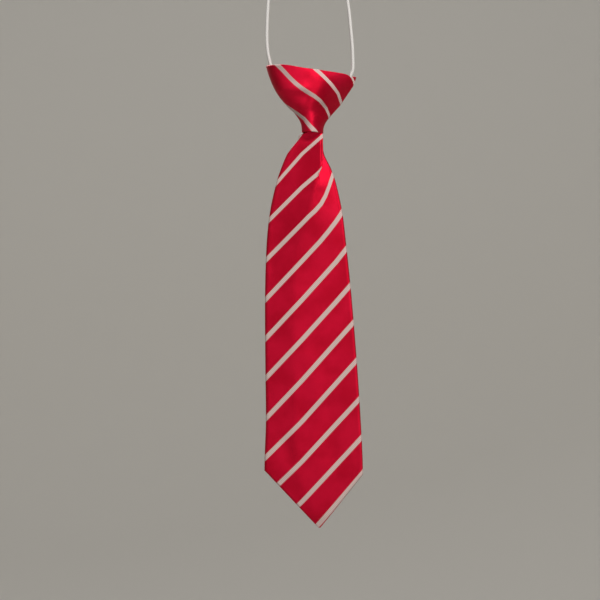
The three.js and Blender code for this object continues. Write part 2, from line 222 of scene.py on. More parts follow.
# How far up and down the lean of the side edges is taken: millimetres on the blade, sections on the knot
LEAN_REACH = 14.0
LEAN_SECTIONS = 5.0

# Points in x and drop where a stripe bends right of STRIPE_X, and its width there, by the stripe's number
STRIPE_BENDS = {
    2: [(6.6, 66.3, 2.3), (9.1, 63.9, 2.1), (11.2, 61.2, 1.9)],
    3: [(2.4, 91, 2.5), (6, 87.7, 2.5), (9.7, 83.4, 2.4), (12.3, 78.6, 2.2), (14.6, 72.6, 2),
        (16.6, 66.4, 2)],
    4: [(9.1, 106, 2.6), (13.9, 100.2, 2.6), (18.7, 93.9, 2.6), (21.7, 89.4, 2.6), (24, 85.2, 2.6)],
    5: [(18.7, 118.3, 2.7), (22.3, 113.7, 2.7)],
    6: [(18.7, 142.4, 2.7), (26, 134, 2.7)],
}

# Past the pleat the third stripe is hidden, and runs beside the fourth, shifted in x, drop and width
HIDDEN_STRIPE = 2
HIDDEN_STRIPE_SHIFT = (-15.0, -7.0, 0)

# Knot sections from the rim down: x and drop of both side edges, how far the cloth stands forward of them,
# where its ridge is as a share of the way across, and how round the part left of the ridge is
EDGE_COLUMNS = ("left", "left_drop", "right", "right_drop")
KNOT_COLUMNS = (*EDGE_COLUMNS, "front", "ridge", "left_power")
KNOT_ROWS = [
    (-23.5, 0.5, 29, 9.4, 16.6, 0.52, 2.4),
    (-22.6, 3.6, 29.1, 10.9, 16.3, 0.56, 2.4),
    (-21.4, 7.2, 28.7, 12.2, 15.9, 0.6, 2.4),
    (-19.9, 10.9, 28, 13.8, 15.4, 0.63, 2.4),
    (-17.8, 15.1, 26.1, 16.6, 14.7, 0.64, 2.4),
    (-15.4, 18.7, 23.8, 20, 13.6, 0.62, 2.2),
    (-12.7, 22, 21.5, 23.5, 12, 0.58, 2),
    (-9.7, 25.3, 18.7, 26.6, 10.2, 0.51, 1.7),
    (-6.9, 27.8, 16.3, 29.3, 8.8, 0.49, 1.6),
    (-4.8, 30.5, 13.9, 32.2, 8.2, 0.48, 1.6),
    (-3.3, 32.9, 12.3, 34.7, 7.8, 0.48, 1.6),
    (-2.3, 35.6, 11.3, 37.4, 7.4, 0.48, 1.6),
    (-1.9, 39.5, 11.1, 40.2, 7.2, 0.48, 1.6),
]
KNOT_SIDE_Y = -1.8
KNOT_BACK_Y = 5.0
KNOT_CORNER = 5.0
KNOT_CORNER_SHARE = 0.6
KNOT_RIDGE_SOFTENING = (-0.08, -0.04, 0, 0.04, 0.08)

# How round the part right of the ridge is, above and below the places where that changes
KNOT_RIGHT_POWERS = (1.15, 1.5)
KNOT_ROUNDER_PLACES = (7, 11)

# Rim: how far it rises at each share of the way across, and how far the front's rim is let down. Rises fade
# out down some sections. The back takes a share of them, and its right half has a notch.
KNOT_RIM = [
    (0, 0), (0.21, 2.6), (0.43, 3), (0.64, 3.7), (0.8, 4.2), (0.9, 4.2), (0.95, 3.7), (0.98, 2.3), (1, 0),
]
RIM_LOWERED = 2.9
RIM_FADE_SECTIONS = 5.0
BACK_RISE_SHARE = 0.2
NOTCH_DROP = 7.0

# The rim's turn and the hem inside it, which reaches down to a place, and the turn at the knot's bottom
RIM_RADIUS = 0.65
RIM_HEM_PLACE = 2.0
BOTTOM_RADIUS = 0.5

# Folds of the knot's front: from and to in x and drop, spread across, and how far it stands forward
KNOT_FOLDS = [
    (-16, 14.6, -1, 15.4, 3, 0.7),
    (-14, 20, 0, 20.6, 3, -0.9),
]

# Stripes of the knot from its upper right to its lower left, as points in x, drop and width
KNOT_STRIPES = [
    [(24, -14, 3), (30, 0, 3), (38, 12, 3), (46, 30, 3), (50, 44, 3)],
    [(-8, -12, 3), (6.3, 4.4, 2.4), (9.1, 6.8, 2.2), (12.7, 10.1, 2.1), (16.3, 13.6, 2.1), (19.9, 17.6, 1.8),
     (22, 22.6, 1.7), (23.5, 30, 1.7), (28, 44, 1.7)],
    [(-28, -9, 2.4), (-16.6, 1.2, 2.3), (-12.7, 5.2, 2.3), (-9.1, 9.2, 2.3), (-5.4, 12.8, 2.4),
     (-1.8, 15.7, 2.3), (1.8, 17.9, 2.3), (5.4, 20, 2.2), (9.1, 22.6, 2), (12.7, 26.2, 1.7),
     (14.4, 29.6, 1.4), (15, 32, 1.2), (22, 38, 1.2), (30, 46, 1.2)],
    [(-36, 0, 1), (-20, 16.2, 1), (-16.4, 19.8, 1), (-11.4, 24, 1.1), (-4.8, 28.8, 1.4), (-0.5, 32.5, 1.8),
     (2.9, 37, 2.4), (5.5, 39.7, 2.8), (9, 44, 3)],
    [(-46, 12, 3), (-28, 34, 3), (-16, 46, 3), (-10, 56, 3), (-4, 64, 3)],
]

# Under turn: rows with x and drop at their left and right ends, from the top down
UNDER_ROWS = [
    (-17.6, 3.4, 31.4, 5.3),
    (-16.4, 7.4, 30.4, 8.6),
    (-15, 11, 29, 12),
    (-12.6, 14.6, 26.4, 14),
    (-10.4, 18, 22.6, 15.8),
    (-5, 24, 15, 24),
]
UNDER_Y = 2.35
UNDER_HALF = 0.75
UNDER_EDGE_POWER = 12
UNDER_STRIPES = [[(19.4, -8, 1.7), (29.4, 8, 1.7), (39.4, 24, 1.7)]]

# Its corner bends back, right of an x
UNDER_BEND = 4.0
UNDER_BEND_X = 26.0
UNDER_BEND_POWER = 1.5

# Finishes: roughness, specular level, sheen and its roughness
CLOTH_FINISH = (0.56, 0.12, 0.02, 0.4)
ELASTIC_FINISH = (0.6, 0.3, 0.2, 0.5)
THREAD_FINISH = (0.5, 0.3, 0.1, 0.4)
FLOOR_FINISH = (0.9, 0.1, 0, 0.5)

# Striped satin: its teeth, twill and ribs, how strong the painted shade in the twill's furrows is, and how
# much the red shines like metal, along its threads
TOOTH_PERIOD = 0.85
TOOTH_DEPTH = 0.35
STRIPE_SOFTNESS = 0.08
TWILL_PERIOD = 0.6
TWILL_SHADE_STRENGTH = 0.12
RIB_PERIOD = 0.85
WEAVE_RELIEF = 0.03
RED_GLOSS = 0.8
THREAD_GLOSS = 0.66
QUARTER_TURN = 0.25

# Colour patches and grain: features a metre and detail
PATCH_NOISE = (60, 3)
PATCH_RANGE = (0.3, 0.7)
GRAIN_NOISE = (1500, 2)
GRAIN_STRENGTH = 0.12

# Braid of the elastic and twist of the seam thread
BRAID_STARTS = 6
BRAID_PITCH = 2.2
BRAID_RELIEF = 0.06
THREAD_TWISTS = 5
THREAD_RELIEF = 0.05

# Studio, in metres
BOWL_FLOOR_Z = -1.5
BOWL_FLAT_RADIUS = 2.0
BOWL_CURVE = 1.2
BOWL_CURVE_STEPS = 24
BOWL_HEIGHT = 2.6
BOWL_SIDES = 96

# Lights: name, place, target, size, power and colour
LIGHT_TARGET = (0, 0, -0.27)
LOW_TARGET = (0, 0, -0.34)
WALL_TARGET = (0, 3.2, -0.3)
LIGHTS = [
    ("key_light", (0.42, -1.0, 0.75), LIGHT_TARGET, 0.4, 26.5, (1, 0.98, 0.95)),
    ("fill_light", (-0.25, -1.6, -0.4), LOW_TARGET, 0.6, 4.6, (0.97, 0.98, 1)),
    ("back_light", (-0.4, 1.2, 0.9), LIGHT_TARGET, 0.8, 20, (1, 1, 1)),
    ("wall_light", (0, 0.9, 1.3), WALL_TARGET, 1.2, 9.5, (1, 1, 1)),
]
WORLD_STRENGTH = 0.15


def linear(red, green, blue):
    """A shader colour from screen values of 0 to 255."""
    return (*(((c / 255 + 0.055) / 1.055) ** 2.4 for c in (red, green, blue)), 1)


# Colours as they look on the screen
RED_DEEP = linear(194, 11, 44)
RED_BRIGHT = linear(212, 18, 55)
# Darker red used as painted shade in the twill's furrows and between the seam thread's plies, and as the
# dark tone of the random grain
RED_SHADE = linear(120, 2, 20)
STRIPE_WHITE = linear(194, 173, 168)
# Painted shade between the ribs of the white stripes
STRIPE_SHADE = linear(166, 145, 140)
ELASTIC_WHITE = linear(192, 190, 187)
# Painted shade in the grooves of the elastic's braid
ELASTIC_SHADE = linear(164, 162, 159)
FLOOR_COLOUR = linear(214, 211, 205)


def metres(x, y, drop):
    """A point in Blender's metres from x, y and drop."""
    return (x * MM, y * MM, (KNOT_TOP_Z - drop) * MM)


def smoothstep(value, low, high):
    """0 below low, 1 above high and a smooth step between."""
    share = np.clip((value - low) / (high - low), 0, 1)
    return share * share * (3 - 2 * share)


def mix(low, high, share):
    return low + (high - low) * share


def smooth_curve(places, values, place):
    """Value at a place on a smooth curve through the given values, as in the CAD model."""
    places = np.asarray(places, float)
    values = np.asarray(values, float)
    last = len(places) - 1
    row = int(np.clip(np.searchsorted(places, place) - 1, 0, last - 1))

    def slope(i):
        before, after = max(i - 1, 0), min(i + 1, last)
        return (values[after] - values[before]) / (places[after] - places[before])

    span = places[row + 1] - places[row]
    share = min(max((place - places[row]) / span, 0), 1)
    square, cube = share**2, share**3
    return (
        (2 * cube - 3 * square + 1) * values[row]
        + (cube - 2 * square + share) * span * slope(row)
        + (3 * square - 2 * cube) * values[row + 1]
        + (cube - square) * span * slope(row + 1)
    )


def add_mesh(name, points, faces, uvs, material, slot, *nodes):
    """A smooth piece on the part's one body, which replaces the named nodes. uvs are its points' places in
    the cloth."""
    mesh = bpy.data.meshes.new(name)
    mesh.from_pydata(points, [], faces)
    layer = mesh.uv_layers.new(name="cloth")
    corners = np.empty(len(mesh.loops), int)
    mesh.loops.foreach_get("vertex_index", corners)
    layer.data.foreach_set("uv", np.asarray(uvs, np.float32)[corners].ravel())
    weld(mesh)
    mesh.shade_smooth()
    mesh.materials.append(material)
    piece = bpy.data.objects.new(name, mesh)
    bpy.context.scene.collection.objects.link(piece)
    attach(piece, "root")
    if nodes:
        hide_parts(*nodes)
    return piece


def weld(mesh):
    """Joins the points that meet, and drops edges and faces without size."""
    shape = bmesh.new()
    shape.from_mesh(mesh)
    bmesh.ops.remove_doubles(shape, verts=shape.verts, dist=WELD_DISTANCE)
    bmesh.ops.dissolve_degenerate(shape, edges=shape.edges, dist=WELD_DISTANCE)
    shape.to_mesh(mesh)
    shape.free()


def grid_faces(rows, columns):
    """Four-sided faces over a grid of points that are numbered row by row."""
    index = np.arange(rows * columns).reshape(rows, columns)
    quads = (index[:-1, :-1], index[1:, :-1], index[1:, 1:], index[:-1, 1:])
    return np.stack(quads, -1).reshape(-1, 4).tolist()


def turns(sides):
    """Shares of a full turn from 0 to 1, each with its cosine and sine."""
    for i in range(sides + 1):
        angle = 2 * math.pi * i / sides
        yield i / sides, math.cos(angle), math.sin(angle)


# Camera
def add_camera():
    data = bpy.data.cameras.new("camera")
    data.sensor_width = SENSOR_WIDTH
    data.lens = SENSOR_WIDTH * CAMERA_DISTANCE / PHOTO_WIDTH
    camera = bpy.data.objects.new("camera", data)
    camera.location = (CAMERA_X * MM, (FRONT_Y - CAMERA_DISTANCE) * MM, CAMERA_Z * MM)
    camera.rotation_euler = (math.radians(90), 0, 0)
    bpy.context.scene.collection.objects.link(camera)
    bpy.context.scene.camera = camera


# Neck elastic
def elastic_route():
    """Points of the elastic's centreline in x and drop, from its left end over the arch to its right end."""
    arch_centre_drop = KNOT_TOP_Z - ELASTIC_RADIUS + LOOP_ARCH_RADIUS
    arch = []
    for step in range(LOOP_ARCH_STEPS + 1):
        angle = math.pi * (1 - step / LOOP_ARCH_STEPS)
        x = LOOP_ARCH_RADIUS * math.cos(angle)
        arch.append((x, arch_centre_drop - LOOP_ARCH_RADIUS * math.sin(angle)))
    return np.array(LEFT_STRAND + arch + RIGHT_STRAND[::-1], float)


def smooth_route(route, step):
    """The route resampled at even steps along a smooth curve."""
    gaps = np.linalg.norm(np.diff(route, axis=0), axis=1)
    places = np.concatenate([[0], np.cumsum(gaps)])
    wanted = np.linspace(0, places[-1], int(places[-1] / step) + 1)
    return np.array([[smooth_curve(places, column, place) for column in route.T] for place in wanted])


def elastic_rings(line):
    """Rings along the elastic with rounded ends: their centres, sideways directions, places and radii."""
    ahead = np.gradient(line, axis=0)
    ahead /= np.linalg.norm(ahead, axis=1)[:, None]
    across = np.stack([-ahead[:, 1], ahead[:, 0]], 1)
    along = np.concatenate([[0], np.cumsum(np.linalg.norm(np.diff(line, axis=0), axis=1))])
    rings = [(*ring, ELASTIC_RADIUS) for ring in zip(line, across, along)]
    for angle in np.linspace(0, math.pi / 2, ELASTIC_END_STEPS + 1)[1:]:
        out = ELASTIC_RADIUS * math.sin(angle)
        radius = ELASTIC_RADIUS * math.cos(angle)
        rings.insert(0, (line[0] - ahead[0] * out, across[0], -out, radius))
        rings.append((line[-1] + ahead[-1] * out, across[-1], along[-1] + out, radius))
    return rings, along[-1]


def add_elastic(material):
    line = smooth_route(elastic_route(), ELASTIC_STEP)
    rings, length = elastic_rings(line)
    points, uvs = [], []
    for centre, side, place, radius in rings:
        for share, cosine, sine in turns(ELASTIC_SIDES):
            x, drop = centre + side * radius * cosine
            points.append(metres(x, radius * sine, drop))
            uvs.append((place, share))
    faces = grid_faces(len(rings), ELASTIC_SIDES + 1)
    elastic = add_mesh("neck_elastic_cord", points, faces, uvs, material, "white_elastic", "neck_elastic")
    path = [metres(x, 0, drop) for x, drop in line]
    return elastic, path, length


# Stripes
def stripe_lines():
    """Each of the blade's stripes as points in x, drop and width, from left to right."""
    lines = []
    for number, (drop, left_slope, right_slope, width) in enumerate(BLADE_STRIPES):
        line = [
            (STRIPE_X - STRIPE_REACH, drop + left_slope * STRIPE_REACH, width),
            (STRIPE_X, drop, width),
        ]
        line += STRIPE_BENDS.get(number, [(STRIPE_X + 1, drop - right_slope, width)])
        before, last = np.array(line[-2:])
        line.append(last + (last - before) * STRIPE_REACH / (last - before)[0] * (1, 1, 0))
        lines.append(np.array(line, float))
    return lines


def signed_distance(points, line):
    """Distance of each point from a line, positive below it, and the line's width there."""
    nearest = np.full(len(points), np.inf)
    signed = np.zeros(len(points))
    width = np.zeros(len(points))
    for start, end in zip(line[:-1], line[1:]):
        along = (end - start)[:2]
        away = points - start[:2]
        share = np.clip(away @ along / (along @ along), 0, 1)
        distance = np.linalg.norm(away - share[:, None] * along, axis=1)
        below = np.sign(along[0] * away[:, 1] - along[1] * away[:, 0])
        closer = distance < nearest
        nearest = np.where(closer, distance, nearest)
        signed = np.where(closer, distance * below, signed)
        width = np.where(closer, mix(start[2], end[2], share), width)
    return signed, width


def stripe_phase(points, lines):
    """Place of each point across the stripes: a whole number on each stripe's centre line."""
    found = [signed_distance(points, np.asarray(line, float)) for line in lines]
    scaled = [distance * STRIPE_WIDTH / (width * STRIPE_PITCH) for distance, width in found]
    phase = scaled[0]
    core = STRIPE_CORE / STRIPE_PITCH
    for number, (above, below) in enumerate(zip(scaled[:-1], scaled[1:])):
        between = np.maximum(above - below - 2 * core, STRIPE_LEAST_GAP)
        middle = core + (1 - 2 * core) * np.clip((above - core) / between, 0, 1)
        share = np.where(above < core, above, middle)
        share = np.where(-below < core, 1 + below, share)
        phase = np.where(above >= 0, number + share, phase)
    return np.where(scaled[-1] >= 0, len(lines) - 1 + scaled[-1], phase)


def cloth_uvs(places, slope, phase):
    """UV places in millimetres along the stripes, which drop by a slope, and across them."""
    along = (places[:, 0] + slope * places[:, 1]) / math.hypot(1, slope)
    return np.stack([along, phase * STRIPE_PITCH], -1)


# Folded cloth, for the blade and the knot
def fold_height(x, drop, folds):
    """How far the folds of a table push the cloth forward at each point."""
    height = np.zeros(np.broadcast(x, drop).shape)
    for from_x, from_drop, to_x, to_drop, spread, rise in folds:
        along_x, along_drop = to_x - from_x, to_drop - from_drop
        share = ((x - from_x) * along_x + (drop - from_drop) * along_drop) / (along_x**2 + along_drop**2)
        share = np.clip(share, 0, 1)
        away = np.hypot(x - from_x - share * along_x, drop - from_drop - share * along_drop)
        height += rise * np.exp(-((away / spread) ** 2))
    return height


def under_flap(middle, edge, back, fit):
    """The left flap from its hidden end to the turned edge, sinking under the right flap."""
    x = np.linspace(middle + SEAM_UNDERLAP * fit, edge, FLAP_STEPS)
    near_seam = smoothstep(x, mix(middle, edge, SEAM_SINK_SHARE), middle - SEAM_LAP * fit)
    return x, back - SEAM_SINK * fit * near_seam


def over_flap(middle, edge, back, fit):
    """The right flap from its turned edge across the seam, with its hem folded back inside."""
    end = middle - SEAM_LAP * fit
    radius = HEM_RADIUS * fit
    x = np.linspace(edge, end, FLAP_STEPS)
    angles = np.linspace(0, math.pi, HEM_TURN_STEPS)[1:]
    hem = np.linspace(end, end + HEM_DEPTH * fit, HEM_STEPS)[1:]
    x = np.concatenate([x, end - radius * np.sin(angles), hem])
    flap_y = np.full(FLAP_STEPS, back)
    hem_y = np.full(len(hem), back - 2 * radius)
    return x, np.concatenate([flap_y, back - radius * (1 - np.cos(angles)), hem_y])


def unfolded(x, y, first, last):
    """x with the cloth unfolded: true between two points, and measured along the cloth beyond them."""
    lengths = np.concatenate([[0], np.cumsum(np.hypot(np.diff(x), np.diff(y)))])
    flat_x = x.copy()
    flat_x[:first] = x[first] - (lengths[first] - lengths[:first])
    flat_x[last:] = x[last] + (lengths[last:] - lengths[last])
    return flat_x


def mirrored(x, drop, edge, lean):
    """Mirror image of points in a side edge: a line through one point that leans by some x per drop."""
    across = x - edge[0]
    down = drop - edge[1]
    along = (across * lean + down) / (1 + lean**2)
    return edge[0] + 2 * along * lean - across, edge[1] + 2 * along - down


def flat_places(cloth_x, drop, edges, leans):
    """Where each point of a ring of cloth lay on the flat cloth before its sides were folded back."""
    flat_x, flat_drop = cloth_x, drop
    for side, edge, lean in zip((-1, 1), edges, leans):
        folded_back = side * (cloth_x - edge[0]) > 0
        mirror_x, mirror_drop = mirrored(2 * edge[0] - cloth_x, drop, edge, lean)
        flat_x = np.where(folded_back, mirror_x, flat_x)
        flat_drop = np.where(folded_back, mirror_drop, flat_drop)
    return np.stack([flat_x, flat_drop], -1)


def add_folded_cloth(name, points, rows, uvs, material, node):
    """A piece of cloth from rows of points, with its thickness inward."""
    faces = grid_faces(rows, len(points) // rows)
    piece = add_mesh(name, points, faces, uvs, material, "striped_cloth", node)
    solidify = piece.modifiers.new("thickness", "SOLIDIFY")
    solidify.thickness = CLOTH_THICKNESS * MM
    solidify.offset = -1
    return piece


# Blade
def blade_value(drop, column):
    index = BLADE_COLUMNS.index(column)
    return smooth_curve([row[0] for row in BLADE_ROWS], [row[index] for row in BLADE_ROWS], drop)


def blade_edge(drop, side, corner):
    """x of a side edge, which runs straight from its corner to the tip."""
    corner_x, corner_drop = corner
    if drop <= corner_drop:
        return blade_value(drop, side)
    tip_x, tip_drop = BLADE_TIP
    return mix(corner_x, tip_x, (drop - corner_drop) / (tip_drop - corner_drop))


def blade_edges(drop):
    return blade_edge(drop, "left", BLADE_CORNER_LEFT), blade_edge(drop, "right", BLADE_CORNER_RIGHT)


def rise_and_fall(place, starts, full, fades, gone):
    """A smooth rise from 0 to 1, and then back to 0."""
    return smoothstep(place, starts, full) * (1 - smoothstep(place, fades, gone))


def ridge_height(x, left, fold, right):
    """Height of the pleat's ridge, from 0 at the flat edges to about 1 at the fold."""
    height = 0
    for shift in PLEAT_SOFTENING:
        rising = np.clip((x + shift - left) / (fold - left), 0, 1)
        falling = np.clip((right - x - shift) / (right - fold), 0, 1)
        height = height + np.where(x + shift < fold, rising, falling)
    return height / len(PLEAT_SOFTENING)


def pleat_turn(x, y):
    """The pleat's two turns: back under the fold's edge, whose front is at x and y, and forward again."""
    angles = np.linspace(0, math.pi, PLEAT_ARC_STEPS)
    out = PLEAT_RADIUS * np.sin(angles)
    deep = PLEAT_RADIUS * (1 - np.cos(angles))
    between = np.linspace(0, PLEAT_LAP, PLEAT_RETURN_STEPS + 2)[1:-1]
    turn_x = x - PLEAT_RADIUS
    return (
        np.concatenate([turn_x + out, turn_x - between, turn_x - PLEAT_LAP - out]),
        np.concatenate([y + deep, y + deep[-1] + 0 * between, y + deep[-1] + deep]),
    )


def turned_edge(x, back, front, side):
    """A side edge's half circle from its back level to its front level."""
    radius = (back - front) / 2
    angles = np.linspace(math.pi / 2, -math.pi / 2, 2 * TURN_STEPS + 1)[1:-1]
    return x + side * radius * (np.cos(angles) - 1), (back + front) / 2 + radius * np.sin(angles)


class BladeLevel:
    """The blade's sizes at one height. lap is 0 where the front is open and 1 where its pleat is folded."""

    def __init__(self, drop):
        self.drop = drop
        self.left, self.right = blade_edges(drop)
        self.middle = (self.left + self.right) / 2
        self.half = min(blade_value(drop, "half"), (self.right - self.left) * THICKNESS_SHARE)
        self.back = blade_value(drop, "back")
        self.front = self.back - 2 * self.half
        self.lap = rise_and_fall(drop, *PLEAT_LAP_DROPS)
        pleat_rise = PLEAT_RISE * rise_and_fall(drop, *PLEAT_RISE_DROPS)
        self.rise = pleat_rise + CROWN_RISE * rise_and_fall(drop, *CROWN_DROPS)
        self.front_right = self.front + max(0, 4 * PLEAT_RADIUS * self.lap - self.rise)
        self.flat_left = self.left + self.half
        self.flat_right = self.right - (self.back - self.front_right) / 2
        self.fold = self.fold_x()

    def fold_x(self):
        """Where the pleat's folded edge is, kept on the front where the blade is narrow."""
        least, most = (mix(self.flat_left, self.flat_right, share) for share in PLEAT_SHARES)
        wanted = smooth_curve(*zip(*PLEAT_LINE), self.drop)
        return max(min(wanted, mix(most, self.right, self.lap)), least)

    def ridge_y(self, x):
        """y of the front before it is pleated."""
        right = max(self.flat_right, self.fold + RIGHT_PANEL_LEAST)
        return self.front - self.rise * ridge_height(x, self.flat_left, self.fold, right)


def blade_front(level):
    """The front's left panel, its pleat and its right panel, each as x and y."""
    room_right = mix((level.flat_right - level.fold) / 2, PLEAT_SPREAD, level.lap)
    spread = min(PLEAT_SPREAD, (level.fold - level.flat_left) / 2, room_right)
    folded_x, folded_y = pleat_turn(level.fold, level.ridge_y(level.fold - PLEAT_RADIUS))
    open_x = np.linspace(level.fold - spread, level.fold + spread, len(folded_x))
    pleat_x = mix(open_x, folded_x, level.lap)
    pleat_y = mix(level.ridge_y(open_x), folded_y, level.lap)
    left_x = np.linspace(level.flat_left, pleat_x[0], LEFT_PANEL_STEPS)[:-1]
    share = np.linspace(0, 1, RIGHT_PANEL_STEPS)[1:]
    right_x = mix(pleat_x[-1], level.flat_right, share)
    right_y = mix(pleat_y[-1], level.front_right, share)
    return (left_x, level.ridge_y(left_x)), (pleat_x, pleat_y), (right_x, right_y)


def blade_section(drop):
    """Points round the blade at one height, from the hidden end of the left flap to the right flap's hem.
    Gives x, y, x with the cloth unfolded, which points are past the pleat as 0 or 1, and the side edges."""
    level = BladeLevel(drop)
    flat_width = level.flat_right - level.flat_left
    fit = min(1, level.half / SEAM_FULL_HALF, flat_width / SEAM_FULL_WIDTH)
    turn_x, turn_y = turned_edge(level.right, level.back, level.front_right, 1)
    parts = [
        under_flap(level.middle, level.flat_left, level.back, fit),
        turned_edge(level.left, level.back, level.front, -1),
        *blade_front(level),
        (turn_x[::-1], turn_y[::-1]),
        over_flap(level.middle, level.flat_right, level.back, fit),
    ]
    x, y = (np.concatenate(values) for values in zip(*parts))
    facing = np.clip((level.back - level.half - y) / level.half, 0, 1)
    y = y - facing * fold_height(x, drop, BLADE_FOLDS)

    left_turn, _, pleat, _, right_turn, _ = np.cumsum([len(part_x) for part_x, _ in parts[:-1]])
    first = left_turn + TURN_STEPS - 1
    last = right_turn + TURN_STEPS - 1
    past = (np.arange(len(x)) > pleat + PLEAT_ARC_STEPS).astype(float)
    return x, y, unfolded(x, y, first, last), past, ((x[first], drop), (x[last], drop))


def blade_drops():
    drops = [np.arange(start, end, step) for start, end, step in BLADE_ROW_STRETCHES]
    return np.concatenate([*drops, [BLADE_ROW_STRETCHES[-1][1]]])


def blade_leans(drop):
    """How far the blade's side edges move in x for each millimetre down. Its tip counts as upright."""
    if drop > BLADE_CORNER_LEFT[1]:
        return 0, 0
    above = drop - LEAN_REACH
    below = drop + LEAN_REACH
    changes = (blade_value(below, side) - blade_value(above, side) for side in ("left", "right"))
    return [change / (below - above) for change in changes]


def blade_phase(places, past):
    """Places across the blade's stripes. Past the pleat, the hidden stripe runs beside the next one."""
    lines = stripe_lines()
    right_lines = list(lines)
    right_lines[HIDDEN_STRIPE] = lines[HIDDEN_STRIPE + 1] + HIDDEN_STRIPE_SHIFT
    return mix(stripe_phase(places, lines), stripe_phase(places, right_lines), past)


def add_blade(material):
    points, places, cloth, past = [], [], [], []
    for drop in blade_drops():
        x, y, cloth_x, beyond, edges = blade_section(drop)
        drops = np.full(len(x), drop)
        points += [metres(*point) for point in zip(x, y, drops)]
        places.append(flat_places(cloth_x, drops, edges, blade_leans(drop)))
        cloth.append(np.stack([cloth_x, drops], -1))
        past.append(beyond)
    phase = blade_phase(np.concatenate(places), np.concatenate(past))
    uvs = cloth_uvs(np.concatenate(cloth), BLADE_STRIPE_SLOPE, phase)
    return add_folded_cloth("blade_cloth", points, len(cloth), uvs, material, "blade")


# Knot
def knot_value(place, column):
    index = KNOT_COLUMNS.index(column)
    return smooth_curve(range(len(KNOT_ROWS)), [row[index] for row in KNOT_ROWS], place)


def knot_edges(place):
    return (knot_value(place, column) for column in EDGE_COLUMNS)


def knot_leans(place):
    """How far the knot's side edges move in x for each millimetre down."""
    before = max(place - LEAN_SECTIONS, 0)
    after = min(place + LEAN_SECTIONS, len(KNOT_ROWS) - 1)
    changes = zip(knot_edges(after), knot_edges(before))
    left, left_drop, right, right_drop = (end - start for end, start in changes)
    return left / left_drop, right / right_drop


def knot_profile(share, ridge, left_power, right_power):
    """How far forward the knot's front stands, from 0 at its side edges to about 1 on its ridge."""
    height = 0
    for shift in KNOT_RIDGE_SOFTENING:
        place = ridge + shift
        left = np.clip(1 - share / place, 0, 1)
        right = np.clip((share - place) / (1 - place), 0, 1)
        left_height = (1 - left**left_power) ** (1 / left_power)
        height = height + left_height * (1 - right**right_power) ** (1 / right_power)
    return height / len(KNOT_RIDGE_SOFTENING)


def knot_front(place, middle, width, inset):
    """x and y of the knot's front between its side edges."""
    across = (1 - np.cos(np.linspace(0, math.pi, KNOT_FRONT_STEPS + 1)[1:-1])) / 2
    right_power = mix(*KNOT_RIGHT_POWERS, smoothstep(place, *KNOT_ROUNDER_PLACES))
    profile = knot_profile(across, knot_value(place, "ridge"), knot_value(place, "left_power"), right_power)
    return middle + width * (2 * across - 1), KNOT_SIDE_Y - (knot_value(place, "front") - inset) * profile


def knot_outline(place, middle, width, inset):
    """x and y round the knot, from the hidden end of the left flap to the right flap's hem."""
    corner = min(KNOT_CORNER - inset, width * KNOT_CORNER_SHARE)
    deep = KNOT_BACK_Y - KNOT_SIDE_Y - inset
    back = KNOT_BACK_Y - inset
    fit = min(1, 2 * (width - corner) / SEAM_FULL_WIDTH)
    turn = np.linspace(math.pi / 2, 0, KNOT_TURN_STEPS + 1)
    turn_in = corner * (1 - np.cos(turn))
    turn_y = KNOT_SIDE_Y + deep * np.sin(turn)
    under_x, under_y = under_flap(middle, middle - width + corner, back, fit)
    right_turn_x = middle + width - turn_in[::-1]
    parts = [
        (under_x[:-1], under_y[:-1]),
        (middle - width + turn_in, turn_y),
        knot_front(place, middle, width, inset),
        (right_turn_x[:-1], turn_y[::-1][:-1]),
        over_flap(middle, middle + width - corner, back, fit),
    ]
    return (np.concatenate(values) for values in zip(*parts))


def rim_moves(place, share, on_front):
    """How far the rim rises and how far the notch sinks at each point of a ring."""
    fade = max(0, 1 - place / RIM_FADE_SECTIONS)
    column = np.arange(len(share))
    past_notch = np.clip((column - KNOT_LAST) / KNOT_TURN_STEPS, 0, 1)
    toward_seam = np.clip((column - KNOT_LAST - KNOT_TURN_STEPS) / FLAP_STEPS, 0, 1)
    notch = smoothstep(past_notch, 0, 1) * (1 - toward_seam)
    back_share = np.where(column <= KNOT_LAST, BACK_RISE_SHARE, BACK_RISE_SHARE * toward_seam)
    rim = np.array([smooth_curve(*zip(*KNOT_RIM), s) for s in share])
    lowered = RIM_LOWERED * np.where(on_front, np.sqrt(np.sin(math.pi * share)), 0)
    rim = rim * np.where(on_front, 1, back_share) - lowered
    return rim * fade, notch * fade * NOTCH_DROP


def knot_ring(place, inset, lift):
    """Points round the knot at a place down its sections, inset from its outside and lifted a little. Gives
    x, y, drop, x with the cloth unfolded, the drop without the rim's moves, and the side edges."""
    left, left_drop, right, right_drop = knot_edges(place)
    middle = (left + right) / 2
    width = (right - left) / 2 - inset
    x, y = knot_outline(place, middle, width, inset)
    column = np.arange(len(x))
    on_front = (column > KNOT_FIRST) & (column < KNOT_LAST)
    share = np.clip((middle + (x - middle) * (width + inset) / width - left) / (right - left), 0, 1)
    level = mix(left_drop, right_drop, share)
    rim_rise, notch_sink = rim_moves(place, share, on_front)
    drop = level - rim_rise + notch_sink - lift
    facing = np.clip((KNOT_SIDE_Y - y) / knot_value(place, "front"), 0, 1)
    y = y - facing * fold_height(x, drop, KNOT_FOLDS)
    cloth_x = unfolded(x, y, KNOT_FIRST, KNOT_LAST)
    edges = (x[KNOT_FIRST], left_drop), (x[KNOT_LAST], right_drop)
    return x, y, drop, cloth_x, np.where(on_front, drop, level), edges


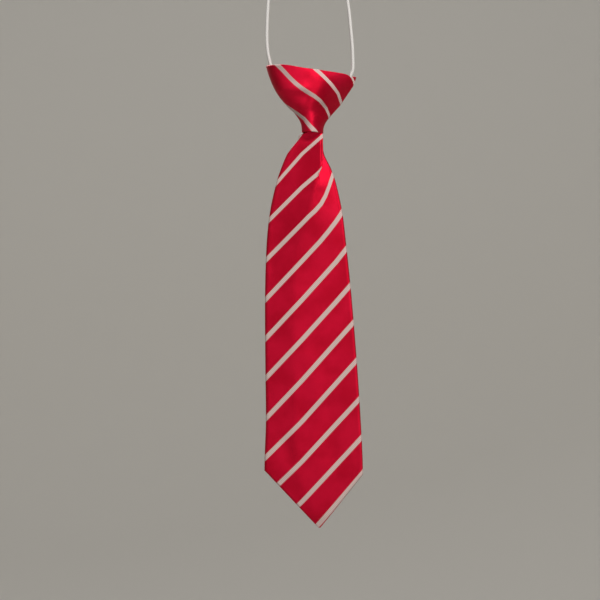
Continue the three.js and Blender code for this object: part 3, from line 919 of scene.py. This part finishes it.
def knot_rows():
    """Rows of the knot's cloth: up inside the rim, over it, down the outside and in under the bottom. Each
    has its place down the sections, its inset and its lift."""
    bottom = len(KNOT_ROWS) - 1
    turn = np.linspace(0, math.pi, RIM_TURN_STEPS)
    rows = [(place, 2 * RIM_RADIUS, 0) for place in np.linspace(RIM_HEM_PLACE, 0, RIM_HEM_STEPS)[:-1]]
    rows += [(0, RIM_RADIUS * (1 + math.cos(a)), RIM_RADIUS * math.sin(a)) for a in turn]
    rows += [(place, 0, 0) for place in np.linspace(0, bottom, KNOT_ROW_STEPS)[1:-1]]
    rows += [(bottom, BOTTOM_RADIUS * (1 - math.cos(a)), -BOTTOM_RADIUS * math.sin(a)) for a in turn]
    rows += [(place, 2 * BOTTOM_RADIUS, 0) for place in np.linspace(bottom, bottom - 1, RIM_HEM_STEPS)[1:]]
    return rows


def add_knot(material):
    points, places, cloth = [], [], []
    for place, inset, lift in knot_rows():
        x, y, drop, cloth_x, pattern_drop, edges = knot_ring(place, inset, lift)
        points += [metres(*point) for point in zip(x, y, drop)]
        places.append(flat_places(cloth_x, pattern_drop, edges, knot_leans(place)))
        cloth.append(np.stack([cloth_x, drop], -1))
    phase = stripe_phase(np.concatenate(places), KNOT_STRIPES)
    uvs = cloth_uvs(np.concatenate(cloth), KNOT_STRIPE_SLOPE, phase)
    return add_folded_cloth("knot_cloth", points, len(cloth), uvs, material, "knot_wrap")


# Under turn, a flat double layer whose corner stands out at the knot's top right
def rounded_share(count):
    """Shares of the way across, closer together near both ends, and the share of the thickness there."""
    share = (1 - np.cos(np.linspace(0, math.pi, count))) / 2
    edge = np.minimum(share, 1 - share) * 2
    return share, np.clip(1 - (1 - edge) ** UNDER_EDGE_POWER, 0, 1) ** 0.5


def under_outline(across, down):
    """x and drop of the under turn's points, row by row."""
    rows = []
    numbers = range(len(UNDER_ROWS))
    for place in down * numbers[-1]:
        left, left_drop, right, right_drop = (np.interp(place, numbers, ends) for ends in zip(*UNDER_ROWS))
        rows.append(np.stack([mix(left, right, across), mix(left_drop, right_drop, across)], -1))
    return np.concatenate(rows)


def under_bend(x):
    """How far the under turn's corner bends back at each x."""
    corner_x = UNDER_ROWS[0][EDGE_COLUMNS.index("right")]
    return UNDER_BEND * np.clip((x - UNDER_BEND_X) / (corner_x - UNDER_BEND_X), 0, 1) ** UNDER_BEND_POWER


def add_under_turn(material):
    across, across_full = rounded_share(UNDER_ACROSS_STEPS)
    down, down_full = rounded_share(UNDER_DOWN_STEPS)
    outline = under_outline(across, down)
    swell = UNDER_HALF * np.outer(down_full, across_full).ravel()
    points = []
    for side in (-1, 1):
        layer = UNDER_Y + under_bend(outline[:, 0]) + side * swell
        points += [metres(x, y, drop) for (x, drop), y in zip(outline, layer)]
    faces = grid_faces(UNDER_DOWN_STEPS, UNDER_ACROSS_STEPS)
    faces += [[len(outline) + i for i in reversed(face)] for face in faces]
    uvs = cloth_uvs(outline, KNOT_STRIPE_SLOPE, stripe_phase(outline, UNDER_STRIPES))
    uvs = np.tile(uvs, (2, 1))
    return add_mesh("knot_under_cloth", points, faces, uvs, material, "striped_cloth", "knot_under")


# Slip stitches across the back seams
def stitch_arch(seam_x, drop, back, fit):
    """Points of one stitch, up from the left flap and over the right flap's turned edge."""
    x = seam_x + np.linspace(STITCH_FROM, STITCH_TO, STITCH_STEPS) * fit
    share = np.linspace(0, 1, STITCH_STEPS)
    level = mix(-SEAM_SINK * fit, 0, smoothstep(share, 0, STITCH_CLIMB_SHARE))
    y = back + level + STITCH_ARCH * np.sin(math.pi * share)
    return np.stack([x, y, drop + STITCH_SLANT * share], -1)


def thread_mesh(arch, first):
    """A thread tube along an arch, tapering at both ends, with its faces numbered from first."""
    ahead = np.gradient(arch, axis=0)
    ahead /= np.linalg.norm(ahead, axis=1)[:, None]
    side = np.cross(ahead, (0, 0, 1))
    side /= np.linalg.norm(side, axis=1)[:, None]
    up = np.cross(side, ahead)
    taper = 1 - np.linspace(-1, 1, len(arch)) ** THREAD_TAPER_POWER
    radius = THREAD_RADIUS * np.sqrt(np.clip(taper, 0, 1))
    points, uvs = [], []
    for row, centre in enumerate(arch):
        for share, cosine, sine in turns(THREAD_SIDES):
            turned = side[row] * cosine + up[row] * sine
            points.append(metres(*(centre + turned * radius[row])))
            uvs.append((row / len(arch), share))
    faces = first + np.array(grid_faces(len(arch), THREAD_SIDES + 1))
    return points, faces.tolist(), uvs


def add_stitches(name, arches, material):
    points, faces, uvs = [], [], []
    for arch in arches:
        more_points, more_faces, more_uvs = thread_mesh(arch, len(points))
        points += more_points
        faces += more_faces
        uvs += more_uvs
    return add_mesh(name, points, faces, uvs, material, "striped_cloth")


def blade_arches():
    arches = []
    for drop in np.arange(*BLADE_STITCH_DROPS):
        left, right = blade_edges(drop)
        fit = min(1, blade_value(drop, "half") / SEAM_FULL_HALF)
        seam_x = (left + right) / 2 - SEAM_LAP * fit
        arches.append(stitch_arch(seam_x, drop, blade_value(drop, "back"), fit))
    return arches


def knot_arches():
    arches = []
    for place in KNOT_STITCH_PLACES:
        left, left_drop, right, right_drop = knot_edges(place)
        seam_x = (left + right) / 2 - SEAM_LAP
        arches.append(stitch_arch(seam_x, (left_drop + right_drop) / 2, KNOT_BACK_Y, 1))
    return arches


# Materials
MIX_INPUTS = (0, 6, 7)
MIX_OUTPUT = 2


class Shader:
    """A material whose nodes are made by short calls. Inputs are numbers, or outputs of other nodes."""

    def __init__(self, name, roughness, specular, sheen, sheen_roughness):
        self.material = bpy.data.materials.new(name)
        self.material.use_nodes = True
        self.nodes = self.material.node_tree.nodes
        self.links = self.material.node_tree.links
        self.surface = self.nodes["Principled BSDF"]
        self.surface.inputs["Roughness"].default_value = roughness
        self.surface.inputs["Specular IOR Level"].default_value = specular
        self.surface.inputs["Sheen Weight"].default_value = sheen
        self.surface.inputs["Sheen Roughness"].default_value = sheen_roughness

    def feed(self, socket, value):
        if isinstance(value, bpy.types.NodeSocket):
            self.links.new(value, socket)
        else:
            socket.default_value = value

    def math(self, operation, *values):
        node = self.nodes.new("ShaderNodeMath")
        node.operation = operation
        for socket, value in zip(node.inputs, values):
            self.feed(socket, value)
        return node.outputs[0]

    def cloth_place(self):
        """Millimetres along and across the stripes."""
        place = self.nodes.new("ShaderNodeUVMap")
        place.uv_map = "cloth"
        split = self.nodes.new("ShaderNodeSeparateXYZ")
        self.links.new(place.outputs[0], split.inputs[0])
        return split.outputs[0], split.outputs[1]

    def wave(self, place, period):
        """A smooth wave from 0 to 1 along a place in millimetres."""
        turned = self.math("SINE", self.math("MULTIPLY", place, 2 * math.pi / period))
        return self.math("MULTIPLY_ADD", turned, 0.5, 0.5)

    def lay_threads(self, gloss):
        """Stretches the highlights across the threads, which run along the stripes."""
        tangent = self.nodes.new("ShaderNodeTangent")
        tangent.direction_type = "UV_MAP"
        tangent.uv_map = "cloth"
        self.links.new(tangent.outputs[0], self.surface.inputs["Tangent"])
        self.surface.inputs["Anisotropic"].default_value = gloss
        self.surface.inputs["Anisotropic Rotation"].default_value = QUARTER_TURN

    def noise(self, scale, detail):
        """Noise over the object, its scale in features a metre."""
        place = self.nodes.new("ShaderNodeTexCoord")
        noise = self.nodes.new("ShaderNodeTexNoise")
        noise.inputs["Scale"].default_value = scale
        noise.inputs["Detail"].default_value = detail
        self.links.new(place.outputs["Object"], noise.inputs["Vector"])
        return noise.outputs[0]

    def mix(self, factor, low, high):
        """A blend of two colours, whose sockets go by number because other kinds share their names."""
        node = self.nodes.new("ShaderNodeMix")
        node.data_type = "RGBA"
        for number, value in zip(MIX_INPUTS, (factor, low, high)):
            self.feed(node.inputs[number], value)
        return node.outputs[MIX_OUTPUT]

    def ramp(self, value, low, high):
        """0 below low, 1 above high and a smooth step between."""
        node = self.nodes.new("ShaderNodeMapRange")
        node.interpolation_type = "SMOOTHSTEP"
        for socket, given in zip(node.inputs, (value, low, high, 0.0, 1.0)):
            self.feed(socket, given)
        return node.outputs[0]

    def finish(self, colour, height, distance):
        """Gives the surface its colour and its relief, so many millimetres deep."""
        self.feed(self.surface.inputs["Base Color"], colour)
        bump = self.nodes.new("ShaderNodeBump")
        bump.inputs["Distance"].default_value = distance * MM
        self.links.new(height, bump.inputs["Height"])
        self.links.new(bump.outputs[0], self.surface.inputs["Normal"])
        return self.material


def satin_red(shader, twill):
    """Red with soft patches, and painted shade that darkens it in the furrows of its twill."""
    patch = shader.ramp(shader.noise(*PATCH_NOISE), *PATCH_RANGE)
    red = shader.mix(patch, RED_DEEP, RED_BRIGHT)
    return shader.mix(shader.math("MULTIPLY", twill, TWILL_SHADE_STRENGTH), red, RED_SHADE)


def outside_stripes(shader, along, across):
    """0 on the stripes and 1 on the red, with toothed edges between them."""
    place = shader.math("DIVIDE", across, STRIPE_PITCH)
    from_stripe = shader.math("ABSOLUTE", shader.math("SUBTRACT", place, shader.math("ROUND", place)))
    from_stripe = shader.math("MULTIPLY", from_stripe, STRIPE_PITCH)
    teeth = shader.wave(along, TOOTH_PERIOD)
    edge = shader.math("MULTIPLY_ADD", teeth, TOOTH_DEPTH, (STRIPE_WIDTH - TOOTH_DEPTH) / 2)
    inner = shader.math("SUBTRACT", edge, STRIPE_SOFTNESS)
    outer = shader.math("ADD", edge, STRIPE_SOFTNESS)
    return shader.ramp(from_stripe, inner, outer)


def striped_cloth():
    shader = Shader("striped_cloth", *CLOTH_FINISH)
    shader.lay_threads(THREAD_GLOSS)
    along, across = shader.cloth_place()
    outside = outside_stripes(shader, along, across)
    shader.feed(shader.surface.inputs["Metallic"], shader.math("MULTIPLY", outside, RED_GLOSS))
    twill = shader.wave(shader.math("ADD", along, across), TWILL_PERIOD)
    rib = shader.wave(along, RIB_PERIOD)
    # The white stripes, with painted shade between their ribs
    white = shader.mix(rib, STRIPE_SHADE, STRIPE_WHITE)
    colour = shader.mix(outside, white, satin_red(shader, twill))
    grain = shader.math("MULTIPLY", shader.noise(*GRAIN_NOISE), GRAIN_STRENGTH)
    colour = shader.mix(grain, colour, RED_SHADE)
    return shader.finish(colour, shader.mix(outside, rib, twill), WEAVE_RELIEF)


def white_elastic():
    shader = Shader("white_elastic", *ELASTIC_FINISH)
    along, around = shader.cloth_place()
    turns = shader.math("MULTIPLY", around, BRAID_STARTS)
    lay = shader.math("DIVIDE", along, BRAID_PITCH)
    right_lay = shader.wave(shader.math("ADD", lay, turns), 1)
    left_lay = shader.wave(shader.math("SUBTRACT", lay, turns), 1)
    braid = shader.math("MAXIMUM", right_lay, left_lay)
    # Painted shade in the grooves between the braid's strands
    colour = shader.mix(braid, ELASTIC_SHADE, ELASTIC_WHITE)
    return shader.finish(colour, braid, BRAID_RELIEF)


def seam_thread():
    shader = Shader("seam_thread", *THREAD_FINISH)
    along, around = shader.cloth_place()
    ply = shader.wave(shader.math("MULTIPLY_ADD", along, THREAD_TWISTS, around), 1)
    # Painted shade between the thread's plies
    colour = shader.mix(ply, RED_SHADE, RED_BRIGHT)
    return shader.finish(colour, ply, THREAD_RELIEF)


# Studio
def bowl_profile():
    """Radius and height above the floor from the bowl's middle to its top."""
    profile = [(0, 0), (BOWL_FLAT_RADIUS, 0)]
    for step in range(1, BOWL_CURVE_STEPS + 1):
        angle = math.pi / 2 * step / BOWL_CURVE_STEPS
        radius = BOWL_FLAT_RADIUS + BOWL_CURVE * math.sin(angle)
        profile.append((radius, BOWL_CURVE * (1 - math.cos(angle))))
    profile.append((BOWL_FLAT_RADIUS + BOWL_CURVE, BOWL_HEIGHT))
    return profile


def add_bowl():
    """A pale floor that curves up into a wall all round, well clear of the tie."""
    profile = bowl_profile()
    points = []
    for radius, height in profile:
        for _, cosine, sine in turns(BOWL_SIDES):
            points.append((radius * cosine, radius * sine, BOWL_FLOOR_Z + height))
    mesh = bpy.data.meshes.new("floor")
    mesh.from_pydata(points, [], grid_faces(len(profile), BOWL_SIDES + 1))
    weld(mesh)
    mesh.shade_smooth()
    shader = Shader("floor", *FLOOR_FINISH)
    shader.feed(shader.surface.inputs["Base Color"], FLOOR_COLOUR)
    mesh.materials.append(shader.material)
    floor = bpy.data.objects.new("floor", mesh)
    bpy.context.scene.collection.objects.link(floor)


def add_light(name, place, target, size, power, colour):
    data = bpy.data.lights.new(name, "AREA")
    data.shape = "DISK"
    data.size = size
    data.energy = power
    data.color = colour
    light = bpy.data.objects.new(name, data)
    light.location = place
    toward = Vector(target) - light.location
    light.rotation_euler = toward.to_track_quat("-Z", "Y").to_euler()
    bpy.context.scene.collection.objects.link(light)


def add_studio():
    add_bowl()
    for light in LIGHTS:
        add_light(*light)
    world = bpy.data.worlds.new("studio")
    world.use_nodes = True
    background = world.node_tree.nodes["Background"]
    background.inputs["Color"].default_value = (1, 1, 1, 1)
    background.inputs["Strength"].default_value = WORLD_STRENGTH
    bpy.context.scene.world = world
    bpy.context.scene.view_settings.view_transform = "Standard"


add_camera()
cloth = striped_cloth()
elastic, elastic_path, elastic_length = add_elastic(white_elastic())
blade = add_blade(cloth)
knot = add_knot(cloth)
under = add_under_turn(cloth)
thread = seam_thread()
blade_stitches = add_stitches("blade_seam_stitches", blade_arches(), thread)
knot_stitches = add_stitches("knot_seam_stitches", knot_arches(), thread)
add_studio()

bpy.context.view_layer.update()
